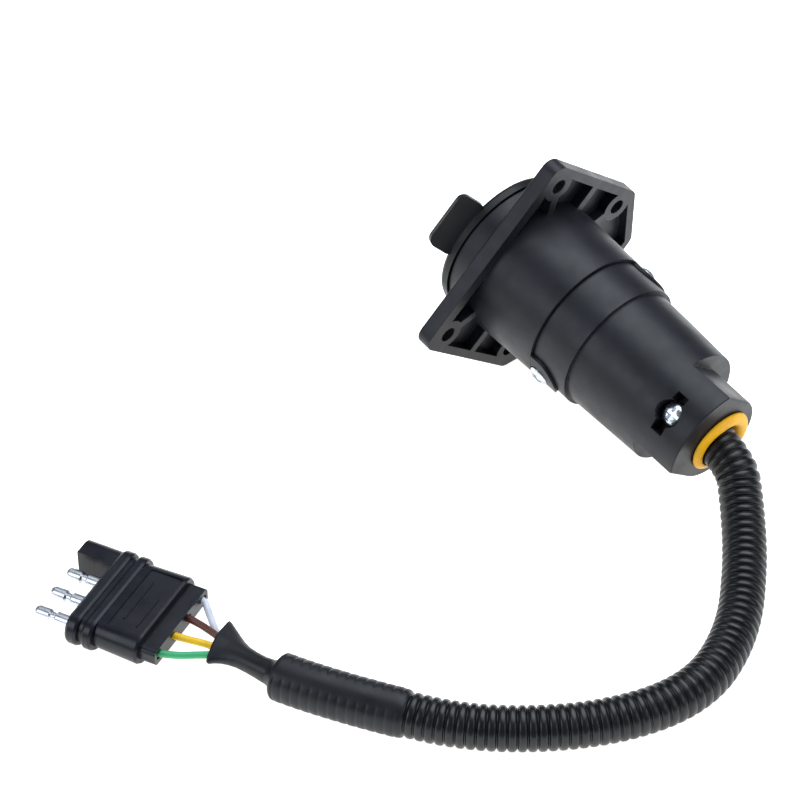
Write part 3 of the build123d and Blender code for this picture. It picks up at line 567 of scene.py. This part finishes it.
# slot: (recipe, colour, roughness, the recipe's other settings)
RECIPES = {
    "housing_plastic": (moulded_plastic, BLUE_BLACK, 0.41, {"specular": 0.27, "edge": SOFT_EDGE}),
    "cap_plastic": (moulded_plastic, BLUE_BLACK, 0.40, {"specular": 0.28, "edge": SOFT_EDGE}),
    "lid_plastic": (moulded_plastic, LID_BLACK, 0.40, {"edge": SOFT_EDGE}),
    "insert_plastic": (moulded_plastic, (0.010, 0.010, 0.011), 0.5, {}),
    "loom_plastic": (moulded_plastic, LOOM_BLACK, 0.32, {"grain": 0.03, "specular": 0.36}),
    "heat_shrink": (moulded_plastic, SLEEVE_BLACK, 0.40, {"grain": 0.06, "specular": 0.27}),
    "plug_rubber": (moulded_plastic, PLUG_BLACK, 0.31, {"grain": 0.03, "specular": 0.30}),
    "gasket_rubber": (soft_rubber, (0.012, 0.012, 0.012), 0.6, {}),
    "yellow_rubber": (soft_rubber, (0.93, 0.46, 0.003), 0.46, {"dirt": 0.84, "subsurface": 0.1}),
    "zinc_steel": (metal, (0.62, 0.66, 0.70), 0.24, {}),
    "clamp_steel": (metal, (0.012, 0.012, 0.013), 0.45, {}),
    "spring_steel": (metal, (0.4, 0.4, 0.41), 0.3, {}),
    "brass": (metal, (0.72, 0.5, 0.2), 0.25, {}),
    "nickel": (metal, (0.62, 0.64, 0.68), 0.30, {}),
    "wire_white": (wire_insulation, (0.66, 0.68, 0.76), WIRE_GLOSS, {}),
    "wire_brown": (wire_insulation, (0.10, 0.028, 0.019), WIRE_GLOSS, {}),
    "wire_yellow": (wire_insulation, (0.90, 0.54, 0.012), WIRE_GLOSS, {}),
    "wire_green": (wire_insulation, (0.045, 0.38, 0.16), WIRE_GLOSS, {}),
}
LOOKS = {}
for slot, (recipe, colour, roughness, settings) in RECIPES.items():
    LOOKS[slot] = recipe(slot, colour, roughness, **settings)


def dress(obj, slot):
    """Give an object the look of a material slot."""
    obj.data.materials.clear()
    obj.data.materials.append(LOOKS[slot])


for entry in frame["record"]["subparts"]:
    cad = frame["nodes"][entry["node"]]
    for cad_slot in cad.material_slots:
        cad_slot.material = LOOKS[entry["material_slot"]]
for piece, slot in [(loom, "loom_plastic"), (sleeve, "heat_shrink"), (grommet, "yellow_rubber")]:
    dress(piece, slot)
for colour, (wire, _) in wires.items():
    dress(wire, f"wire_{colour}")

# ---- floor and light ----
FLOOR_REACH = 3
FLOOR_GREY, FLOOR_LIGHT_GREY = (0.9, 0.9, 0.9), (0.92, 0.92, 0.92)
floor_corners = [
    (-FLOOR_REACH, -FLOOR_REACH, 0),
    (FLOOR_REACH, -FLOOR_REACH, 0),
    (FLOOR_REACH, FLOOR_REACH, 0),
    (-FLOOR_REACH, FLOOR_REACH, 0),
]
floor = new_mesh_object("floor", floor_corners, [(0, 1, 2, 3)])
floor_look = Look("floor", FLOOR_GREY, 0.7)
floor_look.vary_colour(floor_look.noise(3), FLOOR_GREY, FLOOR_LIGHT_GREY)
floor_look.shader.inputs["Emission Color"].default_value = (1, 0.965, 0.925, 1)
floor_look.shader.inputs["Emission Strength"].default_value = 1.0
floor.data.materials.append(floor_look.material)

LIGHT_COLOUR = (0.88, 0.94, 1)
LIT_PLACE = Vector((0.02, -0.08, 0.02))


def soft_light(name, away, size, power):
    """A soft light, away from the object and facing it."""
    data = bpy.data.lights.new(name, "AREA")
    data.shape = "RECTANGLE"
    data.size, data.size_y = size
    data.energy = power
    data.color = LIGHT_COLOUR
    light = bpy.data.objects.new(name, data)
    light.location = LIT_PLACE + Vector(away)
    light.rotation_euler = (LIT_PLACE - light.location).to_track_quat("-Z", "Y").to_euler()
    bpy.context.scene.collection.objects.link(light)


soft_light("top_light", (-0.08, 0.3, 0.9), (0.9, 0.8), 10)
soft_light("left_light", (-0.3, -0.9, 0.55), (0.6, 0.6), 3.6)
soft_light("right_light", (0.9, 0.4, 0.6), (0.6, 0.6), 2.2)


def studio_world():
    """A dim blue surround that lights the object, seen by the camera as plain white."""
    world = bpy.data.worlds.new("studio")
    world.use_nodes = True
    nodes, links = world.node_tree.nodes, world.node_tree.links
    surround = nodes["Background"]
    surround.inputs["Color"].default_value = (0.80, 0.89, 1, 1)
    surround.inputs["Strength"].default_value = 0.27
    paper = nodes.new("ShaderNodeBackground")
    paper.inputs["Color"].default_value = (1, 1, 1, 1)
    path, either = nodes.new("ShaderNodeLightPath"), nodes.new("ShaderNodeMixShader")
    links.new(path.outputs["Is Camera Ray"], either.inputs[0])
    links.new(surround.outputs["Background"], either.inputs[1])
    links.new(paper.outputs["Background"], either.inputs[2])
    links.new(either.outputs["Shader"], nodes["World Output"].inputs["Surface"])
    return world


bpy.context.scene.world = studio_world()
bpy.context.scene.view_settings.view_transform = "Standard"

# ---- camera ----
camera_data = bpy.data.cameras.new("camera")
camera_data.lens = 135
camera_data.sensor_width = 36
camera = bpy.data.objects.new("camera", camera_data)
bpy.context.scene.collection.objects.link(camera)
camera.location = Vector((536.5, -549.9, 674.1)) * MM
camera.rotation_mode = "QUATERNION"
camera.rotation_quaternion = Vector((-0.5731, 0.4911, -0.6561)).to_track_quat("-Z", "Y")
camera_data.clip_start, camera_data.clip_end = 0.01, 20
bpy.context.scene.camera = camera
